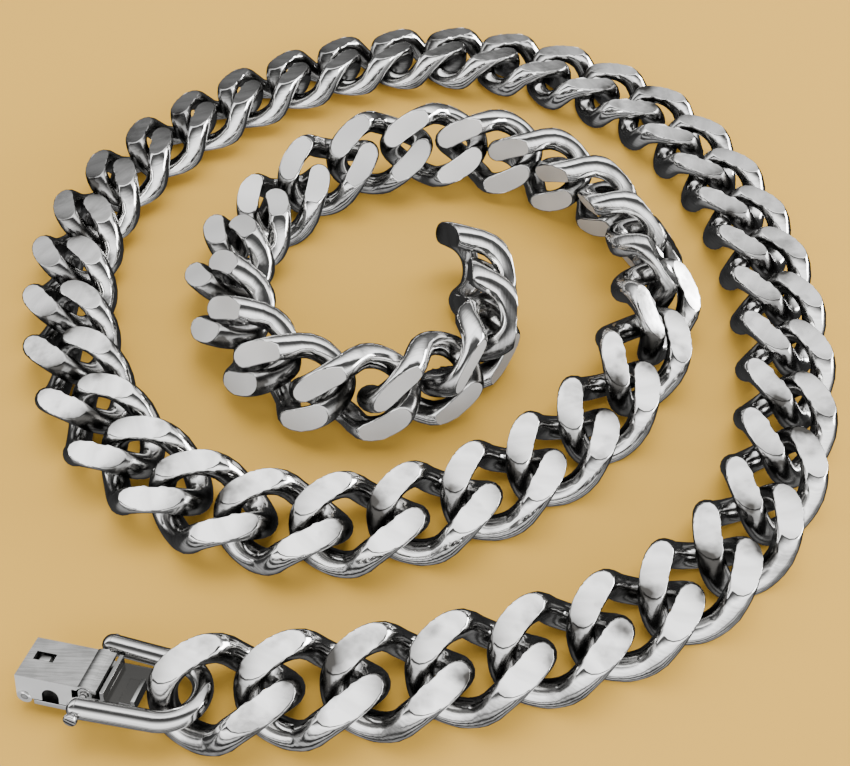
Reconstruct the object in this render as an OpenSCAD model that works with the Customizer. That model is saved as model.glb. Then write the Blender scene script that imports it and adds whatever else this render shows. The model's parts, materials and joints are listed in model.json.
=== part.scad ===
// Curb chain necklace, unfastened and laid on a table as an inward spiral.
// Heavy twisted links with flats filed on both sides, and a fold-over clasp on
// the outer end. Millimetres, +Z up, the table is Z = 0.
// The spiral's first link is the one that carries the clasp.

/* [Chain link] */
// Width across the chain
link_w = 11.3; // [11:0.1:11.6]
// Outside length along the chain
link_l = 14.7; // [14.6:0.05:14.9]
// Diameter of the link's wire
wire_d = 2.9; // [2.7:0.05:2.95]
// Thickness over the filed flats
chain_t = 5.1; // [4.8:0.1:5.4]
// Twist of the ends against the middle, in degrees
link_twist = 57; // [56:0.5:58]
// How evenly the twist runs out to the ends, where 1 is even
twist_power = 0.7; // [0.65:0.05:0.8]
// Squareness of the loop, where 2 is an ellipse
loop_power = 2.4; // [2.3:0.05:2.5]

/* [Chain] */
// Distance from link to link in the outer turn
link_pitch = 8; // [7.9:0.05:8.2]
// Distance from link to link in the tight inner coil
coil_pitch = 7.5; // [7.45:0.05:7.6]
// Distance from link to link at the free inner end
end_pitch = 7.35; // [7.3:0.05:7.4]
// Links in the outer turn
outer_links = 31; // [28:1:36]
// Links in the whole chain
chain_links = 63; // [60:1:63]

/* [Stirrup] */
// Diameter of the stirrup's wire
bar_d = 2; // [1.8:0.1:2.1]
// Distance between the two bars at the pin, centre to centre
bar_gap = 7.8; // [7.7:0.1:8.2]
// Reach from the hinge pin to the middle of the wire at the bend
stirrup_reach = 10.4; // [10.1:0.1:10.6]
// How far each bar leans in towards the bend, in degrees
bar_lean = 3; // [2:0.5:4]

/* [Hinge pin] */
// Diameter of the hinge pin
pin_d = 0.7; // [0.6:0.05:0.8]
// Diameter of the pin's head
pin_head_d = 1.3; // [1.2:0.1:1.6]
// Length of the pin's head
pin_head_l = 0.5; // [0.4:0.1:0.8]

/* [Clasp base] */
// Length from the hinge pin to the barrel at the far end
base_l = 6.1; // [5.8:0.1:6.6]
// Thickness of the base plate
base_t = 0.6; // [0.5:0.05:0.7]
// Diameter of the knuckle around the hinge pin
knuckle_d = 1.4; // [1.3:0.05:1.5]
// Length of the tongue beyond the hinge pin
tongue_l = 4.9; // [4.6:0.1:5]
// Width of the tongue
tongue_w = 4.7; // [4.3:0.1:4.75]
// Thickness of the tongue
tongue_t = 0.6; // [0.5:0.05:0.8]
// Length of the raised panel on the tongue
panel_l = 1.2; // [1:0.1:1.4]
// Width of the raised panel on the tongue
panel_w = 2.8; // [2.4:0.1:3]
// Thickness of the tongue's upright rim and lip
rim_t = 0.4; // [0.3:0.05:0.5]

/* [Clasp cover] */
// Height of the closed clasp, base included
clasp_h = 3.3; // [3.1:0.05:3.5]
// Width of the cover's flat top
cover_top_w = 4.7; // [4.5:0.1:4.9]
// Height of the cover's flat top above the hinge pin's axis
cover_rise = 0.8; // [0.7:0.05:0.9]
// Thickness of the cover's sheet
cover_t = 0.4; // [0.35:0.05:0.45]
// Length of the cover beyond the hinge pin
cover_nose = 1.2; // [1.1:0.1:1.4]
// Diameter of the barrel at the far end
barrel_d = 1.5; // [1.4:0.1:1.6]
// Diameter of the pin in that barrel
cover_pin_d = 0.6; // [0.5:0.05:0.7]
// Radius of the arch in each side, for the ring of the chain's other end
arch_r = 0.85; // [0.7:0.05:0.95]
// Height of that arch
arch_h = 1.5; // [1.3:0.1:1.6]
// Length of the slot over the catch
slot_l = 2; // [1.8:0.1:2.2]
// Width of the slot over the catch
slot_w = 1; // [0.9:0.1:1.2]
// How far the slot and the catch lie off the middle of the cover
slot_off = 0.3; // [0:0.1:0.5]

/* [Fit] */
// Radial clearance of a pin in its bore
pin_gap = 0.06; // [0.05:0.01:0.08]
// Clearance between sheet parts that pass each other
sheet_gap = 0.15; // [0.12:0.01:0.2]
// Clearance between the stirrup's bars and what swings between them
side_gap = 0.25; // [0.2:0.01:0.3]

/* [Hidden] */

silver = [0.78, 0.78, 0.79];
bright = [0.84, 0.84, 0.85];

// The link is a twisted loop of six-sided wire with both sides filed flat
stations = 16;
wire_sides = 6;

function signed_power(v, e) = sign(v) * pow(abs(v), e);

function loop_point(t) =
    let (along = signed_power(cos(t), 2 / loop_power),
         across = signed_power(sin(t), 2 / loop_power),
         twist = -link_twist * signed_power(along, twist_power),
         half_l = (link_l - wire_d) / 2,
         half_w = (link_w - wire_d) / 2)
    [half_l * along, half_w * across * cos(twist), half_w * across * sin(twist)];

function unit(v) = v / norm(v);

function wire_ring(i) =
    let (step = 360 / stations,
         p = loop_point(i * step),
         dir = unit(loop_point((i + 1) * step) - loop_point((i - 1) * step)),
         out = unit(p - dir * (p * dir)),
         up = cross(dir, out))
    [for (k = [0 : wire_sides - 1])
        let (a = 360 * (k + 0.5) / wire_sides,
             v = p + wire_d / 2 * (cos(a) * out + sin(a) * up))
        [v.x, v.y, max(-chain_t / 2, min(chain_t / 2, v.z))]];

link_points = [for (i = [0 : stations - 1]) each wire_ring(i)];

link_faces = [
    for (i = [0 : stations - 1], k = [0 : wire_sides - 1])
        let (j = (i + 1) % stations, m = (k + 1) % wire_sides,
             a = i * wire_sides + k, b = i * wire_sides + m,
             c = j * wire_sides + m, d = j * wire_sides + k)
        each [[a, c, b], [a, d, c]]];

// The route of the chain on the table, from the clasp to the inner end: control
// points of a smooth curve, chosen by hand for the pitch below, as [x, y]
route_pitch = 8;
middle = [-0.6, 14.8]; // middle of the spiral's outline, which is the origin
route = [
    [-18.5, -36.2], [-5.5, -35.5], [7.5, -33], [20.5, -29], [31.5, -21.5],
    [38.5, -10.5], [42, 2.5], [43, 16], [42, 29], [38.5, 42], [32, 53.5],
    [21.5, 61.5], [8.5, 66.5], [-4.5, 66], [-17.5, 61.5], [-29, 53],
    [-38.5, 42.5], [-44, 30.5], [-44, 16.5], [-40.5, 3], [-33.5, -8.5],
    [-22.5, -16.5], [-9.5, -18.5], [3.5, -15.5], [15, -8.5], [24, 2],
    [29, 14], [26, 28], [16.5, 37.5], [4.5, 43], [-9.5, 41], [-20, 33],
    [-25, 21], [-22.5, 6.5], [-13, -2.5], [1, -2], [10, 9], [4, 22]];

// How far the chain is rolled about its own length: [link number, degrees]
rolls = [[1, 4], [8, 0], [18, 0], [23, 10], [30, 12], [42, 4], [50, 122], [57, 242],
         [63, 282]];

// Distance to the next link: [link number, mm]
pitches = [[1, link_pitch], [41, link_pitch], [45, coil_pitch], [63, end_pitch]];

last = len(route) - 1;
ends_added = concat([2 * route[0] - route[1]], route,
                    [2 * route[last] - route[last - 1]]);

function spline(i, t) =
    (pow(1 - t, 3) * ends_added[i]
     + (3 * pow(t, 3) - 6 * t * t + 4) * ends_added[i + 1]
     + (-3 * pow(t, 3) + 3 * t * t + 3 * t + 1) * ends_added[i + 2]
     + pow(t, 3) * ends_added[i + 3]) / 6;

function on_table(p) = (p - middle) * link_pitch / route_pitch;

samples = 8;
curve = [
    for (i = [0 : last - 1], k = [0 : samples - 1])
        on_table(spline(i, k / samples)),
    on_table(spline(last - 1, 1))];
lead = 20;
first_dir = unit(curve[1] - curve[0]);
last_dir = unit(curve[len(curve) - 1] - curve[len(curve) - 2]);
run = concat([curve[0] - lead * first_dir], curve,
             [curve[len(curve) - 1] + lead * last_dir]);
run_s = [for (i = 0, s = -lead; i < len(run);
              s = s + (i < len(run) - 1 ? norm(run[i + 1] - run[i]) : 0),
              i = i + 1) s];
run_x = [for (i = [0 : len(run) - 1]) [run_s[i], run[i].x]];
run_y = [for (i = [0 : len(run) - 1]) [run_s[i], run[i].y]];

function on_run(s) = [lookup(s, run_x), lookup(s, run_y)];
function pitch_at(n) = lookup(n, pitches);

// Place of each link along the route, its heading and its roll
link_s = [for (n = 1, s = 0; n <= chain_links;
               s = s + pitch_at(n), n = n + 1) s];
function heading(n) =
    let (h = pitch_at(n) / 2,
         v = on_run(link_s[n - 1] + h) - on_run(link_s[n - 1] - h))
    atan2(v.y, v.x);
function roll(n) = lookup(n, rolls);

// Height of a link's centre when it touches the table
function rest_height(roll, tilt) =
    max([for (v = link_points)
            -sin(tilt) * v.x
            - cos(tilt) * (sin(roll) * v.y + cos(roll) * v.z)]);
level_z = [for (n = [1 : chain_links]) rest_height(roll(n), 0)];
function tilt(n) =
    let (a = max(n - 1, 1), b = min(n + 1, chain_links))
    atan2(level_z[b - 1] - level_z[a - 1], link_s[b - 1] - link_s[a - 1]);

module curb_link() {
    polyhedron(points = link_points, faces = link_faces, convexity = 4);
}

module links(from, to) {
    for (n = [from : to]) {
        place = on_run(link_s[n - 1]);
        translate([place.x, place.y, rest_height(roll(n), tilt(n))])
            rotate([roll(n), -tilt(n), heading(n)])
                curb_link();
    }
}

module outer_turn() {
    color(silver) links(1, outer_links);
}

module inner_coil() {
    color(silver) links(outer_links + 1, chain_links);
}

// In the clasp, local X runs towards the chain, local Y is the hinge pin's axis and
// local Z points away from the table, with the origin on the pin.
// The pin lies this far from the first link's centre: [x, y]
pin_from_link = [-12.5, 1.7];
clasp_heading = -12;
clasp_roll = -14;
stirrup_tilt = 1.5;
table_gap = 0.02;

bar_y = bar_gap / 2;
bend_r = (bar_y * cos(bar_lean) - stirrup_reach * sin(bar_lean))
         / (1 - sin(bar_lean));
bend_x = stirrup_reach - bend_r;
bar_l = (bend_x + bend_r * sin(bar_lean)) / cos(bar_lean);
bar_lap = 0.02; // how far each bar runs into the bend
bore_r = pin_d / 2 + pin_gap;

// Heights in the clasp, measured from the hinge pin
base_w = bar_gap - bar_d - 2 * side_gap;
knuckle_r = knuckle_d / 2;
cover_top = cover_rise;
cover_under = cover_top - cover_t;
plate_low = cover_top - clasp_h;
plate_top = plate_low + base_t;
skirt_low = plate_top + sheet_gap;

// The plate's low edge rests on the table
pin_z = -plate_low * cos(clasp_roll) - base_w / 2 * sin(clasp_roll) + table_gap;
clasp_at = concat(curve[0] + pin_from_link, [pin_z]);

module in_clasp(tilt = 0) {
    translate(clasp_at)
        rotate([0, 0, clasp_heading])
            rotate([clasp_roll, 0, 0])
                rotate([0, tilt, 0])
                    children();
}

module along_y(d, from, to, fn = 48) {
    translate([0, to, 0])
        rotate([90, 0, 0])
            cylinder(d = d, h = to - from, $fn = fn);
}

module stirrup() {
    color(bright) in_clasp(stirrup_tilt)
        difference() {
            union() {
                translate([bend_x, 0, 0]) {
                    rotate([0, 0, bar_lean - 90])
                        rotate_extrude(angle = 180 - 2 * bar_lean, $fn = 96)
                            translate([bend_r, 0]) circle(d = bar_d, $fn = 48);
                    for (side = [-1, 1])
                        rotate([0, 0, side * (90 - bar_lean)])
                            translate([bend_r, 0, 0])
                                rotate([-side * 90, 0, 0]) {
                                    translate([0, 0, -bar_lap])
                                        cylinder(d = bar_d, h = bar_l + bar_lap,
                                                 $fn = 48);
                                    translate([0, 0, bar_l])
                                        sphere(d = bar_d, $fn = 48);
                                }
                }
            }
            along_y(2 * bore_r, -bar_gap, bar_gap);
        }
}

module hinge_pin() {
    color(bright) in_clasp(stirrup_tilt) {
        along_y(pin_d, -bar_y - bar_d / 2 - sheet_gap, bar_y + bar_d / 2 + sheet_gap);
        along_y(pin_head_d, -bar_y - bar_d / 2 - sheet_gap - pin_head_l,
                -bar_y - bar_d / 2 - sheet_gap);
    }
}

function half_width(z) =
    cover_top_w / 2 + (base_w - cover_top_w) / 2
    * (cover_top - z) / (cover_top - skirt_low);

// The base's barrel at the far end turns between the two ears of the cover
barrel_r = barrel_d / 2;
barrel_x = -base_l;
barrel_z = plate_low + barrel_r;
sweep_r = barrel_r + sheet_gap;
ear_y = half_width(barrel_z + barrel_r) - cover_t;
barrel_y = ear_y - sheet_gap;

module extrude_x(from, to) {
    translate([from, 0, 0])
        rotate([90, 0, 90])
            linear_extrude(to - from) children();
}

module block(from_x, to_x, from_y, to_y, from_z, to_z) {
    translate([from_x, from_y, from_z])
        cube([to_x - from_x, to_y - from_y, to_z - from_z]);
}

module at_barrel() {
    translate([barrel_x, 0, barrel_z]) children();
}

// The catch stands at the middle of the slot, and the slot starts over the barrel
slot_x = barrel_x;
catch_x = slot_x + slot_l / 2;
catch_l = slot_l / 2;
catch_w = slot_w - 2 * sheet_gap;

// The arch is a little beyond the middle of the plate
arch_x = barrel_x / 2 - rim_t;

// The cover's ridge clears the knuckle, and the tongue's rim clears the cover
hump_r = knuckle_r + sheet_gap;
ridge_r = hump_r + cover_t / 2;
tongue_top = -knuckle_r / 2;
rim_x = cover_nose + 2 * sheet_gap;
lip_x = tongue_l - rim_t;

module clasp_base() {
    color(silver) in_clasp()
        difference() {
            union() {
                // plate under the cover, with the knuckle at its end
                block(barrel_x, 0, -base_w / 2, base_w / 2, plate_low, plate_top);
                along_y(knuckle_d, -tongue_w / 2, tongue_w / 2);
                block(-knuckle_r, -bore_r, -tongue_w / 2, tongue_w / 2, plate_low, 0);
                // barrel
                at_barrel() along_y(barrel_d, -barrel_y, barrel_y);
                // catch that stands in the cover's slot
                block(catch_x - catch_l / 2, catch_x + catch_l / 2,
                      slot_off - catch_w / 2, slot_off + catch_w / 2,
                      plate_low, cover_under + cover_t / 2);
                // tongue with its upright rim, raised panel and end lip
                block(0, tongue_l, -tongue_w / 2, tongue_w / 2,
                      tongue_top - tongue_t, tongue_top);
                block(rim_x, rim_x + rim_t, -tongue_w / 2, tongue_w / 2,
                      tongue_top - tongue_t, knuckle_r);
                block(lip_x - panel_l, lip_x, -tongue_w / 2, panel_w - tongue_w / 2,
                      tongue_top - tongue_t, 0);
                block(lip_x, tongue_l, -tongue_w / 2, panel_w - tongue_w / 2,
                      tongue_top - tongue_t, knuckle_r / 2);
            }
            along_y(2 * bore_r, -base_w, base_w);
            at_barrel() {
                along_y(cover_pin_d + 2 * pin_gap, -base_w, base_w);
                // room for the cover's ears
                for (from_y = [-base_w, barrel_y])
                    block(-sweep_r, sweep_r, from_y, from_y + base_w - barrel_y,
                          -barrel_d, barrel_d);
            }
        }
}

module cover_section(low, top, inset) {
    polygon([[-half_width(low) + inset, low], [half_width(low) - inset, low],
             [half_width(top) - inset, top], [-half_width(top) + inset, top]]);
}

module clasp_cover() {
    color(silver) in_clasp()
        difference() {
            union() {
                difference() {
                    extrude_x(barrel_x - barrel_r, cover_nose)
                        cover_section(skirt_low, cover_top, 0);
                    // hollow under the sheet
                    extrude_x(barrel_x - barrel_r + cover_t, cover_nose + 1)
                        cover_section(skirt_low - 1, cover_under, cover_t);
                    // sides end short of the stirrup's bars
                    block(-bar_d / 2 - side_gap, base_l, -base_w, base_w,
                          -base_l, cover_under);
                    // arch in each side
                    translate([arch_x, 0, skirt_low + arch_h - arch_r])
                        along_y(2 * arch_r, -base_w, base_w);
                    block(arch_x - arch_r, arch_x + arch_r, -base_w, base_w,
                          skirt_low - 1, skirt_low + arch_h - arch_r);
                    // room for the base's barrel
                    at_barrel() {
                        along_y(2 * sweep_r, -ear_y, ear_y);
                        block(-base_l, 0, -ear_y, ear_y, -base_l, sweep_r);
                    }
                    // slot over the catch
                    block(slot_x, slot_x + slot_l, slot_off - slot_w / 2,
                          slot_off + slot_w / 2, 0, cover_top + 1);
                }
                // low ridge where the sheet passes over the knuckle
                intersection() {
                    along_y(2 * ridge_r, -cover_top_w / 2, cover_top_w / 2);
                    block(-base_l, base_l, -base_w, base_w, cover_under, cover_top + 1);
                }
                // ears that hold the pin beside the barrel
                at_barrel() {
                    along_y(barrel_d, ear_y, base_w / 2);
                    along_y(barrel_d, -base_w / 2, -ear_y);
                }
            }
            at_barrel() along_y(cover_pin_d + 2 * pin_gap, -base_w, base_w);
            along_y(2 * hump_r, -base_w, base_w);
        }
}

module cover_pin() {
    color(silver) in_clasp()
        at_barrel() along_y(cover_pin_d, -base_w / 2, base_w / 2);
}

outer_turn();
inner_coil();
stirrup();
hinge_pin();
clasp_base();
clasp_cover();
cover_pin();
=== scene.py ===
import bmesh
import bpy
import json
import math
import numpy as np
from mathutils import Matrix, Vector


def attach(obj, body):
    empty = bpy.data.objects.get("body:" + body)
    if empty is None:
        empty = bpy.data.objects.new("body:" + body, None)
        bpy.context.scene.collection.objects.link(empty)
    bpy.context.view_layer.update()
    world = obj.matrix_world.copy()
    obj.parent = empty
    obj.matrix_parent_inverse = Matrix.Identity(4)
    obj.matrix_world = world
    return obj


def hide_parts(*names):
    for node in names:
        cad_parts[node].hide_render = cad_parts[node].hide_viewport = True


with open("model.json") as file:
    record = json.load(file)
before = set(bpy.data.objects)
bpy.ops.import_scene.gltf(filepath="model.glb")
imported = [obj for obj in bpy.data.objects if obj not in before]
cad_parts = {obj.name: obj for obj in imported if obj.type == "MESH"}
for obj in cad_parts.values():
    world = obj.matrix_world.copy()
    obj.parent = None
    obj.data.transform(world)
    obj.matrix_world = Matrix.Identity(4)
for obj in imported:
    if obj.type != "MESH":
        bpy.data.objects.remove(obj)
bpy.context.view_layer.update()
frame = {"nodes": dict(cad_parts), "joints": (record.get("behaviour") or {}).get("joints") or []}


# The view: the necklace is seen from in front and above, near enough for the
# clasp's side of the spiral to look larger than its far side.
mm = 0.001
VIEW_TARGET = Vector((0.6, -14.8, 5.0)) * mm
VIEW_DISTANCE = 129.12 * mm
VIEW_ELEVATION = math.radians(49.5)
FOCAL_PIXELS = 1150
IMAGE_WIDTH = 850
SENSOR_WIDTH = 36.0
NEAREST_SEEN = 5 * mm

bpy.ops.object.camera_add()
camera = bpy.context.object
camera.name = "table_view"
camera.location = VIEW_TARGET + VIEW_DISTANCE * Vector(
    (0, -math.cos(VIEW_ELEVATION), math.sin(VIEW_ELEVATION)))
camera.rotation_euler = (math.pi / 2 - VIEW_ELEVATION, 0, 0)
camera.data.sensor_width = SENSOR_WIDTH
camera.data.lens = FOCAL_PIXELS / IMAGE_WIDTH * SENSOR_WIDTH
camera.data.clip_start = NEAREST_SEEN
bpy.context.scene.camera = camera


# One link of the chain: a ring of thick silver wire, soldered shut, twisted so that
# its neighbours lie flat in it, and then filed flat on both sides with the chain.
LINK_W = 11.3 * mm
LINK_L = 14.7 * mm
WIRE_D = 2.87 * mm
CHAIN_T = 5.1 * mm
LINK_TWIST = math.radians(57)
TWIST_POWER = 0.7
LOOP_POWER = 2.4
LINK_STATIONS = 72
WIRE_ROUNDNESS = 6
RIM_WEAR = 0.12 * mm
FLAT_TOLERANCE = 0.01 * mm
FLAT_LEVEL = 0.999  # the upright part of a flat's normal
SMOOTH_UP_TO = math.radians(35)
ENDS_SHARE = 0.6  # how much a link's length counts in what is its inner side
NESTED_FROM = 0.55  # share of the half length


def signed_power(value, exponent):
    return math.copysign(abs(value) ** exponent, value)


def loop_point(angle):
    along = signed_power(math.cos(angle), 2 / LOOP_POWER)
    across = signed_power(math.sin(angle), 2 / LOOP_POWER)
    twist = -LINK_TWIST * signed_power(along, TWIST_POWER)
    half_w = (LINK_W - WIRE_D) / 2
    return Vector(((LINK_L - WIRE_D) / 2 * along,
                   half_w * across * math.cos(twist),
                   half_w * across * math.sin(twist)))


def pick(piece):
    bpy.ops.object.select_all(action="DESELECT")
    piece.select_set(True)
    bpy.context.view_layer.objects.active = piece


def edit(piece):
    pick(piece)
    bpy.ops.object.mode_set(mode="EDIT")
    bpy.ops.mesh.select_all(action="SELECT")


def smooth(piece):
    """Smooth shading that keeps the large faces flat up to their worn edges."""
    pick(piece)
    bpy.ops.object.shade_smooth_by_angle(angle=SMOOTH_UP_TO)
    bpy.ops.object.modifier_add(type="WEIGHTED_NORMAL")
    piece.modifiers[0].keep_sharp = True
    bpy.ops.object.modifier_apply(modifier=piece.modifiers[0].name)


def select_faces(piece, test):
    """In edit mode, selects the faces for which test(centre, normal) is true."""
    bpy.ops.mesh.select_mode(type="FACE")
    bpy.ops.mesh.select_all(action="DESELECT")
    surface = bmesh.from_edit_mesh(piece.data)
    for face in surface.faces:
        face.select_set(test(face.calc_center_median(), face.normal))
    bmesh.update_edit_mesh(piece.data)


def twisted_wire():
    bpy.ops.object.select_all(action="DESELECT")
    bpy.ops.mesh.primitive_circle_add(vertices=LINK_STATIONS, radius=LINK_L / 2)
    ring = bpy.context.object
    for k, vertex in enumerate(ring.data.vertices):
        vertex.co = loop_point(2 * math.pi * k / LINK_STATIONS)
    bpy.ops.object.convert(target="CURVE")
    ring.data.twist_mode = "MINIMUM"
    ring.data.bevel_depth = WIRE_D / 2
    ring.data.bevel_resolution = WIRE_ROUNDNESS
    bpy.ops.object.convert(target="MESH")
    return ring


def on_a_flat(centre, normal):
    off_flat = abs(abs(centre.z) - CHAIN_T / 2)
    return abs(normal.z) > FLAT_LEVEL and off_flat < FLAT_TOLERANCE


def file_flat(ring):
    """Cuts both sides flat and rounds the rims of the flats."""
    edit(ring)
    for side in (-1, 1):
        bpy.ops.mesh.select_all(action="SELECT")
        bpy.ops.mesh.bisect(plane_co=(0, 0, side * CHAIN_T / 2), plane_no=(0, 0, side),
                            use_fill=True, clear_outer=True)
    select_faces(ring, on_a_flat)
    bpy.ops.mesh.region_to_loop()
    bpy.ops.mesh.bevel(offset=RIM_WEAR, segments=2, affect="EDGES")
    bpy.ops.mesh.select_all(action="SELECT")
    bpy.ops.mesh.normals_make_consistent(inside=False)
    bpy.ops.object.mode_set(mode="OBJECT")


def turn_of(place):
    return math.atan2(place.y, place.x)


def mark_link(ring):
    """Keeps, for the finish, where the flats are, where shade is painted dark, partly as
    tarnish (the wire's inner side and the ends that sit in the neighbours), and a map in
    millimetres that follows the wire round the link."""
    flats = ring.data.attributes.new("filed_flat", "FLOAT", "FACE")
    recess_shade = ring.data.attributes.new("recess_shade", "FLOAT", "POINT")
    plan = ring.data.uv_layers.new(name="link_plan")
    run = ring.data.uv_layers.new(name="wire_run")
    for face in ring.data.polygons:
        flats.data[face.index].value = float(on_a_flat(face.center, face.normal))
        middle = turn_of(face.center)
        for corner in face.loop_indices:
            place = ring.data.vertices[ring.data.loops[corner].vertex_index].co
            step = (turn_of(place) - middle + math.pi) % (2 * math.pi) - math.pi
            plan.data[corner].uv = (place.x / mm, place.y / mm)
            run.data[corner].uv = ((middle + step) * LINK_L / 2 / mm, place.z / mm)
    # how deep each corner lies in the painted shade: the inner side and the ends nested in the
    # neighbours
    for vertex in ring.data.vertices:
        x, y, z = vertex.co
        outwards = Vector((x * ENDS_SHARE, y, z)).normalized()
        nested = (abs(x) / (LINK_L / 2) - NESTED_FROM) / (1 - NESTED_FROM)
        recess_shade.data[vertex.index].value = max(0.0, nested, -vertex.normal.dot(outwards))


link = twisted_wire()
file_flat(link)
mark_link(link)
smooth(link)


# The chain: 63 such links, laid down as a loose spiral from the clasp inwards, flat
# round the outside and rolling over where the inner coil is tight. They are polished
# with the flats softly brushed. Their recesses are painted dark as shade, partly as
# tarnish, with a few random stains.
MIDDLE = (-0.6, 14.8)  # of the spiral's outline, in the route's millimetres
ROUTE = [
    (-18.5, -36.2), (-5.5, -35.5), (7.5, -33), (20.5, -29), (31.5, -21.5),
    (38.5, -10.5), (42, 2.5), (43, 16), (42, 29), (38.5, 42), (32, 53.5),
    (21.5, 61.5), (8.5, 66.5), (-4.5, 66), (-17.5, 61.5), (-29, 53),
    (-38.5, 42.5), (-44, 30.5), (-44, 16.5), (-40.5, 3), (-33.5, -8.5),
    (-22.5, -16.5), (-9.5, -18.5), (3.5, -15.5), (15, -8.5), (24, 2),
    (29, 14), (26, 28), (16.5, 37.5), (4.5, 43), (-9.5, 41), (-20, 33),
    (-25, 21), (-22.5, 6.5), (-13, -2.5), (1, -2), (10, 9), (4, 22)]
OUTER_LINKS = 31
CHAIN_LINKS = 63
SAMPLES = 8  # of each span of the route
LEAD = 20 * mm  # of straight route before the first link and past the last
# Link by link, how far it rolls in degrees, and how many millimetres the next is on
ROLLS = [(1, 4), (8, 0), (18, 0), (23, 10), (30, 12), (42, 4), (50, 122), (57, 242),
         (63, 282)]
PITCHES = [(1, 8.0), (41, 8.0), (45, 7.5), (63, 7.35)]


def smooth_route():
    """A uniform cubic B-spline through the route's control points, in metres."""
    points = (np.array(ROUTE) - MIDDLE) * mm
    ends = [2 * points[0] - points[1]], [2 * points[-1] - points[-2]]
    knots = np.concatenate([ends[0], points, ends[1]])
    curve = []
    for i in range(len(points) - 1):
        for k in range(SAMPLES + (i == len(points) - 2)):
            t = k / SAMPLES
            weights = ((1 - t) ** 3, 3 * t ** 3 - 6 * t * t + 4,
                       -3 * t ** 3 + 3 * t * t + 3 * t + 1, t ** 3)
            curve.append(np.dot(weights, knots[i:i + 4]) / 6)
    first = (curve[1] - curve[0]) / np.linalg.norm(curve[1] - curve[0])
    last = (curve[-1] - curve[-2]) / np.linalg.norm(curve[-1] - curve[-2])
    return np.array([curve[0] - LEAD * first] + curve + [curve[-1] + LEAD * last])


def lookup(value, table):
    return float(np.interp(value, [row[0] for row in table], [row[1] for row in table]))


route = smooth_route()
route_steps = np.linalg.norm(np.diff(route, axis=0), axis=1)
route_s = np.concatenate([[0], np.cumsum(route_steps)]) - LEAD


def on_route(s):
    return np.array([np.interp(s, route_s, route[:, axis]) for axis in (0, 1)])


link_corners = np.array([vertex.co for vertex in link.data.vertices])


def link_turn(roll, tilt, heading):
    return (Matrix.Rotation(heading, 3, "Z") @ Matrix.Rotation(-tilt, 3, "Y")
            @ Matrix.Rotation(roll, 3, "X"))


def rest_height(roll, tilt):
    """Height of a link's centre when its lowest point touches the table."""
    return -(link_corners @ np.array(link_turn(roll, tilt, 0)).T)[:, 2].min()


def link_places():
    """The matrix of each link, from the clasp to the free end."""
    s = [0.0]
    for n in range(1, CHAIN_LINKS):
        s.append(s[-1] + lookup(n, PITCHES) * mm)
    rolls = [math.radians(lookup(n, ROLLS)) for n in range(1, CHAIN_LINKS + 1)]
    level = [rest_height(roll, 0) for roll in rolls]
    places = []
    for i in range(CHAIN_LINKS):
        before, after = max(i - 1, 0), min(i + 1, CHAIN_LINKS - 1)
        half = lookup(i + 1, PITCHES) * mm / 2
        ahead = on_route(s[i] + half) - on_route(s[i] - half)
        heading = math.atan2(ahead[1], ahead[0])
        tilt = math.atan2(level[after] - level[before], s[after] - s[before])
        x, y = on_route(s[i])
        turn = link_turn(rolls[i], tilt, heading).to_4x4()
        places.append(Matrix.Translation((x, y, rest_height(rolls[i], tilt))) @ turn)
    return places


def lay_links(name, places):
    """Copies the link to each place, and joins the copies as one piece."""
    copies = []
    for place in places:
        copy = link.copy()
        copy.data = link.data.copy()
        copy.data.transform(place)
        bpy.context.scene.collection.objects.link(copy)
        copies.append(copy)
    bpy.ops.object.select_all(action="DESELECT")
    for copy in copies:
        copy.select_set(True)
    bpy.context.view_layer.objects.active = copies[0]
    bpy.ops.object.join()
    piece = bpy.context.object
    piece.name = name
    return piece


class Reading:
    """A socket of a finish, so that shader sums are written as Python sums."""

    def __init__(self, finish, socket):
        self.finish = finish
        self.socket = socket

    def __add__(self, other):
        return self.finish.maths("ADD", self, other)

    def __sub__(self, other):
        return self.finish.maths("SUBTRACT", self, other)

    def __rsub__(self, other):
        return self.finish.maths("SUBTRACT", other, self)

    def __mul__(self, other):
        return self.finish.maths("MULTIPLY", self, other)

    __radd__ = __add__
    __rmul__ = __mul__


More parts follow.
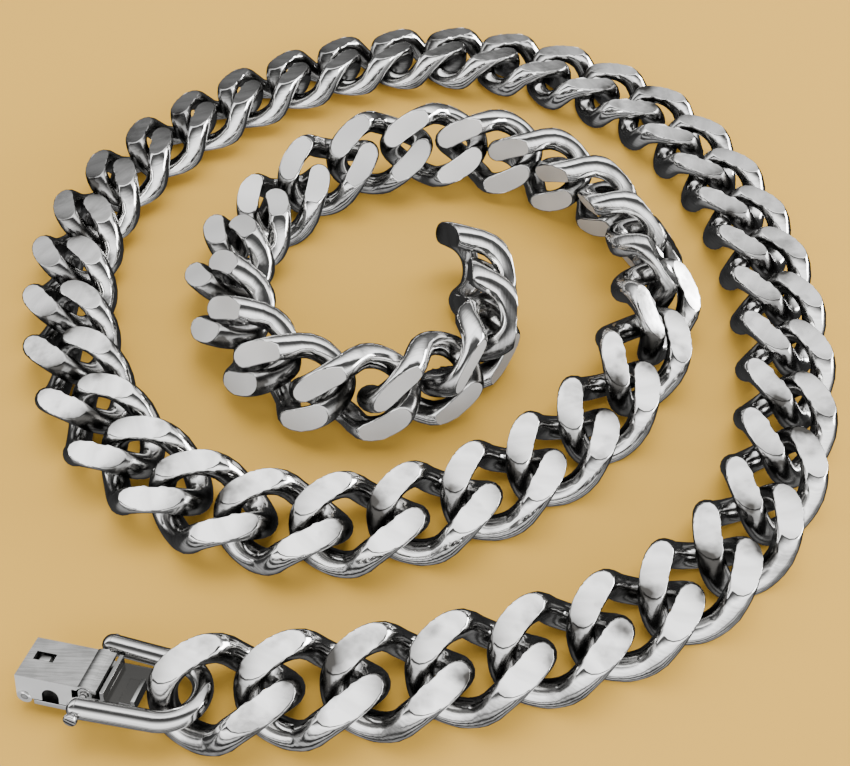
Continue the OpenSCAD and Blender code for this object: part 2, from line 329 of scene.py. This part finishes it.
class Finish:
    """The nodes of a metal, a table or the light, around their one shader."""

    def __init__(self, tree, shader):
        self.tree = tree
        self.shader = tree.nodes[shader]

    def node(self, kind, settings, values, output=0):
        node = self.tree.nodes.new(kind)
        for name, setting in settings.items():
            if name == "stops":
                band = node.color_ramp.elements
                for k, (place, light) in enumerate(setting):
                    stop = band[k] if k < 2 else band.new(place)
                    stop.position = place
                    stop.color = (light, light, light, 1)
            else:
                setattr(node, name, setting)
        for socket, value in values.items():
            self.feed(node.inputs[socket], value)
        return Reading(self, node.outputs[output])

    def feed(self, socket, value):
        if isinstance(value, Reading):
            self.tree.links.new(value.socket, socket)
        else:
            socket.default_value = value

    def paint(self, socket, value):
        self.feed(self.shader.inputs[socket], value)

    def maths(self, operation, first, second):
        return self.node("ShaderNodeMath", {"operation": operation},
                         {0: first, 1: second})

    def mark(self, name):
        return self.node("ShaderNodeAttribute", {"attribute_name": name}, {}, "Fac")

    def stretched(self, place, scale, turn=0.0):
        return self.node("ShaderNodeMapping", {}, {
            "Vector": place, "Rotation": (0, 0, turn), "Scale": scale})

    def noise(self, place, scale, detail):
        return self.node("ShaderNodeTexNoise", {},
                         {"Vector": place, "Scale": scale, "Detail": detail})

    def rise(self, value, low, high, start, end):
        """From start to end, as the value goes from low to high."""
        return self.node("ShaderNodeMapRange", {}, {
            "Value": value, "From Min": low, "From Max": high, "To Min": start,
            "To Max": end})

    def blend(self, share, first, second):
        """Mixes two colours; 6 and 7 are the mixing node's colour sockets."""
        return self.node("ShaderNodeMix", {"data_type": "RGBA"},
                         {0: share, 6: first, 7: second}, 2)

    def bump(self, strength, height):
        self.paint("Normal", self.node("ShaderNodeBump", {}, {
            "Strength": strength, "Distance": BUMP_DEPTH, "Height": height}))


def new_metal(name):
    material = bpy.data.materials.new(name)
    material.use_nodes = True
    finish = Finish(material.node_tree, "Principled BSDF")
    finish.paint("Metallic", 1.0)
    return material, finish


# bright silver: the links' polish, and a painted highlight on the clasp's folded sides
BRIGHT_SILVER = (0.93, 0.925, 0.915, 1)
HANDLED = (0.6, 0.595, 0.585, 1)
# near black, painted as shade in recesses, and partly as tarnish
SHADE_AND_TARNISH_DARK = (0.05, 0.048, 0.045, 1)
BUMP_DEPTH = 0.1 * mm
LINK_BUMP = 0.15  # how much of the depths below shows
DENT_DEPTH = 0.6  # a share of the bump's depth, as the next three are
BRUSHED_DEPTH = 0.6
DRAWN_DEPTH = 0.2
FLECK_DEPTH = 1.2
POLISHED_ROUGHNESS = 0.05
BRUSHED_ROUGHNESS = 0.4  # added to the polished roughness, as the next three are
STROKE_ROUGHNESS = 0.03
SMEAR_ROUGHNESS = 0.04
RECESS_AND_STAIN_ROUGHNESS = 0.15
BRUSHED_WHITENESS = 0.4  # how far the brushed flats look white, not like a mirror


def link_silver():
    """Drawn wire with dents, brushed flats, and recesses painted dark as shade and partly as
    tarnish.
    """
    material, finish = new_metal("link_silver")
    flat = finish.mark("filed_flat")
    recess_shade = finish.mark("recess_shade")
    plan = finish.node("ShaderNodeUVMap", {"uv_map": "link_plan"}, {})
    run = finish.node("ShaderNodeUVMap", {"uv_map": "wire_run"}, {})
    place = finish.node("ShaderNodeTexCoord", {}, {}, "Object")
    cloud = finish.noise(place, scale=140.0, detail=1.0)
    smear = finish.noise(place, scale=260.0, detail=3.0)
    dents = finish.noise(place, scale=420.0, detail=2.0)
    flecks = finish.noise(place, scale=1600.0, detail=2.0)
    filed = finish.stretched(plan, scale=(0.6, 9.0, 1.0))
    strokes = finish.noise(filed, scale=1.4, detail=4.0)
    drawn = finish.stretched(run, scale=(0.35, 5.0, 1.0))
    draw_marks = finish.noise(drawn, scale=1.0, detail=3.0)
    side = 1 - flat

    # painted shade in the wire's recesses, partly tarnish, in patches, plus random stains
    painted_recess_shade = finish.rise(recess_shade, low=0.15, high=0.8, start=0.0, end=0.95)
    patches = finish.rise(smear, low=0.3, high=0.6, start=0.6, end=1.0)
    stains = finish.rise(smear, low=0.54, high=0.7, start=0.0, end=0.5)
    shade_and_tarnish = side * (painted_recess_shade * patches + stains)
    scuffs = finish.rise(draw_marks, low=0.4, high=0.65, start=0.2, end=0.8)
    clouding = finish.rise(cloud, low=0.4, high=0.7, start=0.4, end=0.9)
    dull = side * scuffs + flat * clouding
    worn = finish.blend(dull, BRIGHT_SILVER, HANDLED)
    finish.paint("Base Color", finish.blend(shade_and_tarnish, worn, SHADE_AND_TARNISH_DARK))
    finish.paint("Metallic", 1 - flat * BRUSHED_WHITENESS)
    finish.paint("Roughness", POLISHED_ROUGHNESS + flat * BRUSHED_ROUGHNESS
                 + strokes * STROKE_ROUGHNESS + smear * SMEAR_ROUGHNESS
                 + shade_and_tarnish * RECESS_AND_STAIN_ROUGHNESS)
    finish.bump(LINK_BUMP, dents * DENT_DEPTH + flat * strokes * BRUSHED_DEPTH
                + side * draw_marks * DRAWN_DEPTH + shade_and_tarnish * flecks * FLECK_DEPTH)
    return material


link.data.materials.append(link_silver())
places = link_places()
outer_links = lay_links("outer_links", places[:OUTER_LINKS])
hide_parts("outer_turn")
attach(outer_links, "chain")
inner_links = lay_links("inner_links", places[OUTER_LINKS:])
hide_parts("inner_coil")
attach(inner_links, "chain")
bpy.data.objects.remove(link)


# The clasp: a silver bar, bent round and threaded through the first link, and a base
# plate that swings on a pin across its ends, under a cover folded from sheet. The
# plate and the pin are worn round at their edges. Their insides and shaded faces are
# painted dark as shade, the sheets' tops darker as shade and their folded sides bright
# as a painted highlight.
PLATE_WEAR = 0.1 * mm
PIN_WEAR = 0.12 * mm
MERGE = 0.002 * mm  # corners nearer than this are one
SHARP = math.radians(30)
ALMOST_LEVEL = math.radians(1)
TONGUE_FROM = 1.9 * mm  # along the clasp, from the hinge pin towards the chain
TONGUE_TO = 4.4 * mm
TONGUE_LOW = -0.1 * mm  # up from the middle of the pin
PLATE_END = -0.8 * mm  # along the clasp, where the cover begins to shade the plate
MOSTLY = 0.7  # the least part of a unit normal that counts as facing some way
BRUSHED_TURN = math.radians(12)
CLASP_BUMP = 0.06
CLASP_STROKE_DEPTH = 0.3
# how far the shaded faces of the clasp are painted dark
CLASP_SHADE = 0.9
CLASP_SMEAR_ROUGHNESS = 0.1
CLASP_STROKE_ROUGHNESS = 0.1
FOLD_ROUGHNESS = 0.2
EDGE_SMOOTHNESS = 0.1


def clasp_silver(name, shaded_silver, roughness):
    """Handled metal, brushed along the clasp, brighter on its worn edges, painted bright on
    its folded sides as a highlight, darker elsewhere as shade, and dark inside as painted
    shade."""
    material, finish = new_metal(name)
    place = finish.node("ShaderNodeTexCoord", {}, {}, "Object")
    smear = finish.noise(place, scale=400.0, detail=3.0)
    brushed = finish.stretched(place, scale=(1.0, 14.0, 4.0), turn=BRUSHED_TURN)
    strokes = finish.noise(brushed, scale=300.0, detail=4.0)
    recess_shade = finish.mark("recess_shade")
    edge = finish.mark("worn_edge")
    lit_fold = finish.mark("lit_folded_side")
    scuffs = finish.rise(smear + strokes, low=0.8, high=1.2, start=0.1, end=0.9)
    dull = (1 - edge) * (1 - lit_fold) * scuffs
    # painted highlight on the folded sides, which get the bright colour; the rest gets the
    # darker colour painted as shade
    worn = finish.blend(dull, finish.blend(lit_fold, shaded_silver, BRIGHT_SILVER), HANDLED)
    # painted shade: the insides and shaded faces go near black
    finish.paint("Base Color", finish.blend(recess_shade * CLASP_SHADE, worn, SHADE_AND_TARNISH_DARK))
    finish.paint("Roughness", roughness + smear * CLASP_SMEAR_ROUGHNESS
                 + strokes * CLASP_STROKE_ROUGHNESS + lit_fold * FOLD_ROUGHNESS
                 - edge * EDGE_SMOOTHNESS)
    finish.bump(CLASP_BUMP, smear + strokes * CLASP_STROKE_DEPTH)
    return material


# Both are painted darker than the links' bright silver as shade, the sheets most.
silver_of_bars = clasp_silver(
    "clasp_bar_silver", shaded_silver=(0.62, 0.615, 0.61, 1), roughness=0.04)
silver_of_sheets = clasp_silver(
    "clasp_sheet_silver", shaded_silver=(0.34, 0.34, 0.33, 1), roughness=0.14)


def refinish(piece, silver):
    piece.data.materials.clear()
    piece.data.materials.append(silver)


def worn_copy(node, name, body, silver, wear=0):
    """A merged copy of a solid, without the loose slivers that merging leaves. Its sharp
    edges are rounded by as much as they are worn."""
    piece = bpy.data.objects.new(name, frame["nodes"][node].data.copy())
    bpy.context.scene.collection.objects.link(piece)
    edit(piece)
    bpy.ops.mesh.remove_doubles(threshold=MERGE)
    bpy.ops.mesh.select_mode(type="EDGE")
    bpy.ops.mesh.select_all(action="DESELECT")
    bpy.ops.mesh.select_non_manifold(use_wire=False, use_boundary=True, use_verts=False,
                                     use_multi_face=False, use_non_contiguous=False)
    bpy.ops.mesh.select_mode(type="FACE", use_expand=True)
    bpy.ops.mesh.delete(type="FACE")
    bpy.ops.mesh.select_all(action="SELECT")
    bpy.ops.mesh.dissolve_limited(angle_limit=ALMOST_LEVEL)
    bpy.ops.mesh.select_all(action="SELECT")
    bpy.ops.mesh.normals_make_consistent(inside=False)
    bpy.ops.mesh.select_mode(type="EDGE")
    bpy.ops.mesh.select_all(action="DESELECT")
    if wear:
        bpy.ops.mesh.edges_select_sharp(sharpness=SHARP)
        bpy.ops.mesh.bevel(offset=wear, segments=2, affect="EDGES", clamp_overlap=True)
    bpy.ops.object.mode_set(mode="OBJECT")
    worn = piece.data.attributes.new("worn_edge", "FLOAT", "FACE")
    for face in piece.data.polygons:
        worn.data[face.index].value = float(face.select)
    smooth(piece)
    refinish(piece, silver)
    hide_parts(node)
    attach(piece, body)
    return piece


def mark_faces(piece, mark, test):
    """Marks the faces for which test(place, normal) is true, both as (along, across, up)
    from the hinge pin."""
    swing = next(joint for joint in frame["joints"] if joint["name"] == "clasp_swing")
    pin, axis = Vector(swing["pos_m"]), Vector(swing["axis"])
    up = Vector((1, 0, 0)).cross(axis).normalized()
    turn = Matrix((axis.cross(up), axis, up))
    marks = piece.data.attributes.new(mark, "FLOAT", "FACE")
    for face in piece.data.polygons:
        found = test(turn @ (face.center - pin), turn @ face.normal)
        marks.data[face.index].value = float(found)


def shaded_in_base(place, normal):
    """Painted shade: the sunken tongue in the stirrup's shade, and the plate under the cover."""
    tongue = TONGUE_FROM < place.x < TONGUE_TO and place.z < TONGUE_LOW
    plate = place.x < PLATE_END and normal.z > MOSTLY and place.z < 0
    return tongue or plate


# The cover's underside and inner faces, painted dark as shade.
def inside_cover(place, normal):
    return normal.z < -MOSTLY or normal.y * place.y < -MOSTLY * abs(place.y)


# The folded sides of a sheet, painted brighter than its top as a highlight.
def lit_folded_side(place, normal):
    return normal.y * place.y > MOSTLY * abs(place.y)


cover = worn_copy("clasp_cover", "cover_sheet", "cover", silver_of_sheets)
mark_faces(cover, "recess_shade", inside_cover)
mark_faces(cover, "lit_folded_side", lit_folded_side)
base = worn_copy("clasp_base", "base_plate", "base", silver_of_sheets, PLATE_WEAR)
mark_faces(base, "recess_shade", shaded_in_base)
mark_faces(base, "lit_folded_side", lit_folded_side)
worn_copy("hinge_pin", "swing_pin", "chain", silver_of_bars, PIN_WEAR)
worn_copy("stirrup", "bent_bar", "chain", silver_of_bars)
refinish(frame["nodes"]["cover_pin"], silver_of_bars)


# The table: a sheet of pale sand-coloured paper that the necklace lies on. The
# polished links mirror the light round it and not the paper.
TABLE_SIZE = 4.0
PAPER = (0.66, 0.38, 0.062, 1)
PAPER_ROUGHNESS = 0.9
PAPER_SHEEN = 0.1


def table_paper():
    material = bpy.data.materials.new("table_paper")
    material.use_nodes = True
    finish = Finish(material.node_tree, "Principled BSDF")
    finish.paint("Base Color", PAPER)
    finish.paint("Roughness", PAPER_ROUGHNESS)
    finish.paint("Specular IOR Level", PAPER_SHEEN)
    return material


bpy.ops.object.select_all(action="DESELECT")
bpy.ops.mesh.primitive_plane_add(size=TABLE_SIZE, location=(0, 0, 0))
table = bpy.context.object
table.name = "table"
table.data.materials.append(table_paper())
table.visible_glossy = False


# The light: a soft lamp over the table, a strip at its right, and round all a tent of
# white cloth in long panels from left to right. It is bright beyond the table and in
# front of it, and dark overhead, low at the back and in strips low in front.
TENT_PANELS = [  # (degrees up from the far side of the table, brightness)
    (-180, 2.2), (-170, 1.6), (-167, 0.03), (-164, 0.03), (-161, 1.1), (-152, 0.8),
    (-149, 0.03), (-141, 0.03), (-138, 0.7), (-131, 0.6), (-128, 0.04), (-119, 0.04),
    (-114, 0.4), (-98, 0.25), (-85, 0.06), (-30, 0.03), (0, 0.06), (22, 0.25),
    (30, 0.7), (37, 1.1), (46, 1.6), (57, 2.7), (75, 3.0), (79, 0.8), (84, 0.1),
    (106, 0.08), (119, 0.4), (130, 1.3), (139, 2.4), (147, 3.0), (180, 2.2)]


def light_tent():
    world = bpy.data.worlds.new("light_tent")
    world.use_nodes = True
    finish = Finish(world.node_tree, "Background")
    place = finish.node("ShaderNodeTexCoord", {}, {}, "Generated")
    away = finish.node("ShaderNodeSeparateXYZ", {}, {"Vector": place}, "Y")
    height = finish.node("ShaderNodeSeparateXYZ", {}, {"Vector": place}, "Z")
    turn = finish.maths("ARCTAN2", height, away) * (0.5 / math.pi) + 0.5
    stops = [(degrees / 360 + 0.5, light) for degrees, light in TENT_PANELS]
    finish.paint("Color", finish.node("ShaderNodeValToRGB", {"stops": stops}, {0: turn}))
    finish.paint("Strength", 1.0)
    return world


bpy.context.scene.world = light_tent()


def lamp(name, place, width, height, power):
    """A lamp that is turned to the middle of the table."""
    bpy.ops.object.light_add(type="AREA", location=place)
    light = bpy.context.object
    light.name = name
    light.data.shape = "RECTANGLE"
    light.data.size = width
    light.data.size_y = height
    light.data.energy = power
    light.rotation_euler = (-Vector(place)).to_track_quat("-Z", "Y").to_euler()
    return light


table_lamp = lamp("table_lamp", (0.1, 0.2, 0.9), width=0.7, height=0.7, power=7.0)
table_lamp.visible_glossy = False
lamp("right_strip", (0.5, 0.05, 0.12), width=0.5, height=0.12, power=3.0)
